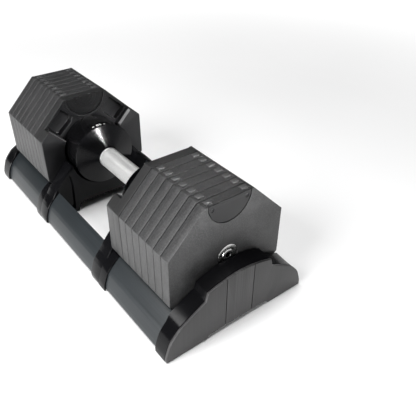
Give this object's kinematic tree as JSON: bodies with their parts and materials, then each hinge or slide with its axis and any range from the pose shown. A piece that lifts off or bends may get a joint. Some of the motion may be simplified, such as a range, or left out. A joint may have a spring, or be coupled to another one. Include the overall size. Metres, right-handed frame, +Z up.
{
  "type": "adjustable dumbbell",
  "caption": "Dumbbell with a twist grip that picks up flat octagonal weight plates, standing in an open cradle with end caps and side rails.",
  "frame": {"origin": "on the surface the cradle stands on, below the middle of the grip", "axes": "+X along the grip towards the near end, +Y across the cradle, +Z up"},
  "size_m": [0.5244, 0.2206, 0.1768],
  "materials": {
    "plate_coating": "fine-textured matte dark grey coating",
    "housing_plastic": "moulded matte black",
    "gloss_black_plastic": "gloss black",
    "inner_plastic": "matte black",
    "rail_anodised": "dark blue-grey satin",
    "cap_plastic": "satin dark grey",
    "foot_rubber": "black rubber",
    "knurled_steel": "knurled bright steel",
    "machined_steel": "machined steel",
    "spring_steel": "drawn wire"
  },
  "bodies": {
    "cradle": {"tray_near": "gloss_black_plastic", "tray_far": "gloss_black_plastic", "end_cap_near": "cap_plastic", "end_cap_far": "cap_plastic", "rail_left": "rail_anodised", "rail_right": "rail_anodised", "release_post_near": "machined_steel", "release_post_far": "machined_steel", "foot_left_near": "foot_rubber", "foot_right_near": "foot_rubber", "foot_left_far": "foot_rubber", "foot_right_far": "foot_rubber"},
    "handle_unit": {"housing_near": "housing_plastic", "housing_far": "housing_plastic", "core_tube": "machined_steel", "bearing_plate_near": "inner_plastic", "bearing_plate_far": "inner_plastic", "top_badge_near": "housing_plastic", "top_badge_far": "housing_plastic", "lock_spring_near": "spring_steel", "lock_spring_far": "spring_steel"},
    "grip": {"grip_tube": "knurled_steel", "cone_near": "gloss_black_plastic", "cone_far": "gloss_black_plastic", "dial_drum_near": "gloss_black_plastic", "dial_drum_far": "gloss_black_plastic", "drive_sleeve": "machined_steel", "index_disc_near": "machined_steel", "index_disc_far": "machined_steel"},
    "rod_near": {"selector_rod_near": "machined_steel", "follower_pin_near": "machined_steel"},
    "rod_far": {"selector_rod_far": "machined_steel", "follower_pin_far": "machined_steel"},
    "lock_near": {"lock_slide_near": "machined_steel"},
    "lock_far": {"lock_slide_far": "machined_steel"},
    "plate_near_1": {"plate_near_1": "plate_coating"},
    "plate_far_1": {"plate_far_1": "plate_coating"},
    "plate_near_2": {"plate_near_2": "plate_coating"},
    "plate_far_2": {"plate_far_2": "plate_coating"},
    "plate_near_3": {"plate_near_3": "plate_coating"},
    "plate_far_3": {"plate_far_3": "plate_coating"},
    "plate_near_4": {"plate_near_4": "plate_coating"},
    "plate_far_4": {"plate_far_4": "plate_coating"},
    "plate_near_5": {"plate_near_5": "plate_coating"},
    "plate_far_5": {"plate_far_5": "plate_coating"},
    "plate_near_6": {"plate_near_6": "plate_coating"},
    "plate_far_6": {"plate_far_6": "plate_coating"},
    "plate_near_7": {"plate_near_7": "plate_coating", "end_badge_near": "housing_plastic", "badge_screw_left_near": "machined_steel", "badge_screw_right_near": "machined_steel", "end_bush_near": "machined_steel", "end_bolt_near": "machined_steel"},
    "plate_far_7": {"plate_far_7": "plate_coating", "end_badge_far": "housing_plastic", "badge_screw_left_far": "machined_steel", "badge_screw_right_far": "machined_steel", "end_bush_far": "machined_steel", "end_bolt_far": "machined_steel"}
  },
  "joints": [
    {"name": "dumbbell_lift", "type": "slide", "parent": "cradle", "child": "handle_unit", "axis": [0, 0, 1], "range_m": [0, 0.17]},
    {"name": "handle_twist", "type": "hinge", "parent": "handle_unit", "child": "grip", "pos_m": [0, 0, 0.0934], "axis": [1, 0, 0], "range_deg": [0, 315]},
    {"name": "rod_near_slide", "type": "slide", "parent": "handle_unit", "child": "rod_near", "axis": [1, 0, 0], "range_m": [0, 0.1065]},
    {"name": "rod_far_slide", "type": "slide", "parent": "handle_unit", "child": "rod_far", "axis": [-1, 0, 0], "range_m": [0, 0.1065]},
    {"name": "lock_near_slide", "type": "slide", "parent": "handle_unit", "child": "lock_near", "axis": [0, 0, -1], "range_m": [0, 0.0049]},
    {"name": "lock_far_slide", "type": "slide", "parent": "handle_unit", "child": "lock_far", "axis": [0, 0, -1], "range_m": [0, 0.0049]},
    {"name": "plate_near_1_lift", "type": "slide", "parent": "cradle", "child": "plate_near_1", "axis": [0, 0, 1], "range_m": [0, 0.17]},
    {"name": "plate_far_1_lift", "type": "slide", "parent": "cradle", "child": "plate_far_1", "axis": [0, 0, 1], "range_m": [0, 0.17]},
    {"name": "plate_near_2_lift", "type": "slide", "parent": "cradle", "child": "plate_near_2", "axis": [0, 0, 1], "range_m": [0, 0.17]},
    {"name": "plate_far_2_lift", "type": "slide", "parent": "cradle", "child": "plate_far_2", "axis": [0, 0, 1], "range_m": [0, 0.17]},
    {"name": "plate_near_3_lift", "type": "slide", "parent": "cradle", "child": "plate_near_3", "axis": [0, 0, 1], "range_m": [0, 0.17]},
    {"name": "plate_far_3_lift", "type": "slide", "parent": "cradle", "child": "plate_far_3", "axis": [0, 0, 1], "range_m": [0, 0.17]},
    {"name": "plate_near_4_lift", "type": "slide", "parent": "cradle", "child": "plate_near_4", "axis": [0, 0, 1], "range_m": [0, 0.17]},
    {"name": "plate_far_4_lift", "type": "slide", "parent": "cradle", "child": "plate_far_4", "axis": [0, 0, 1], "range_m": [0, 0.17]},
    {"name": "plate_near_5_lift", "type": "slide", "parent": "cradle", "child": "plate_near_5", "axis": [0, 0, 1], "range_m": [0, 0.17]},
    {"name": "plate_far_5_lift", "type": "slide", "parent": "cradle", "child": "plate_far_5", "axis": [0, 0, 1], "range_m": [0, 0.17]},
    {"name": "plate_near_6_lift", "type": "slide", "parent": "cradle", "child": "plate_near_6", "axis": [0, 0, 1], "range_m": [0, 0.17]},
    {"name": "plate_far_6_lift", "type": "slide", "parent": "cradle", "child": "plate_far_6", "axis": [0, 0, 1], "range_m": [0, 0.17]},
    {"name": "plate_near_7_lift", "type": "slide", "parent": "cradle", "child": "plate_near_7", "axis": [0, 0, 1], "range_m": [0, 0.17]},
    {"name": "plate_far_7_lift", "type": "slide", "parent": "cradle", "child": "plate_far_7", "axis": [0, 0, 1], "range_m": [0, 0.17]}
  ],
  "couplings": [
    {"joint": "rod_near_slide", "follows": "handle_twist", "m_per_rad": 0.019353},
    {"joint": "rod_far_slide", "follows": "handle_twist", "m_per_rad": 0.019353},
    {"joint": "lock_near_slide", "follows": "dumbbell_lift", "ratio": 0.0282},
    {"joint": "lock_far_slide", "follows": "dumbbell_lift", "ratio": 0.0282},
    {"joint": "plate_far_1_lift", "follows": "plate_near_1_lift", "ratio": 1},
    {"joint": "plate_far_2_lift", "follows": "plate_near_2_lift", "ratio": 1},
    {"joint": "plate_far_3_lift", "follows": "plate_near_3_lift", "ratio": 1},
    {"joint": "plate_far_4_lift", "follows": "plate_near_4_lift", "ratio": 1},
    {"joint": "plate_far_5_lift", "follows": "plate_near_5_lift", "ratio": 1},
    {"joint": "plate_far_6_lift", "follows": "plate_near_6_lift", "ratio": 1},
    {"joint": "plate_far_7_lift", "follows": "plate_near_7_lift", "ratio": 1}
  ]
}
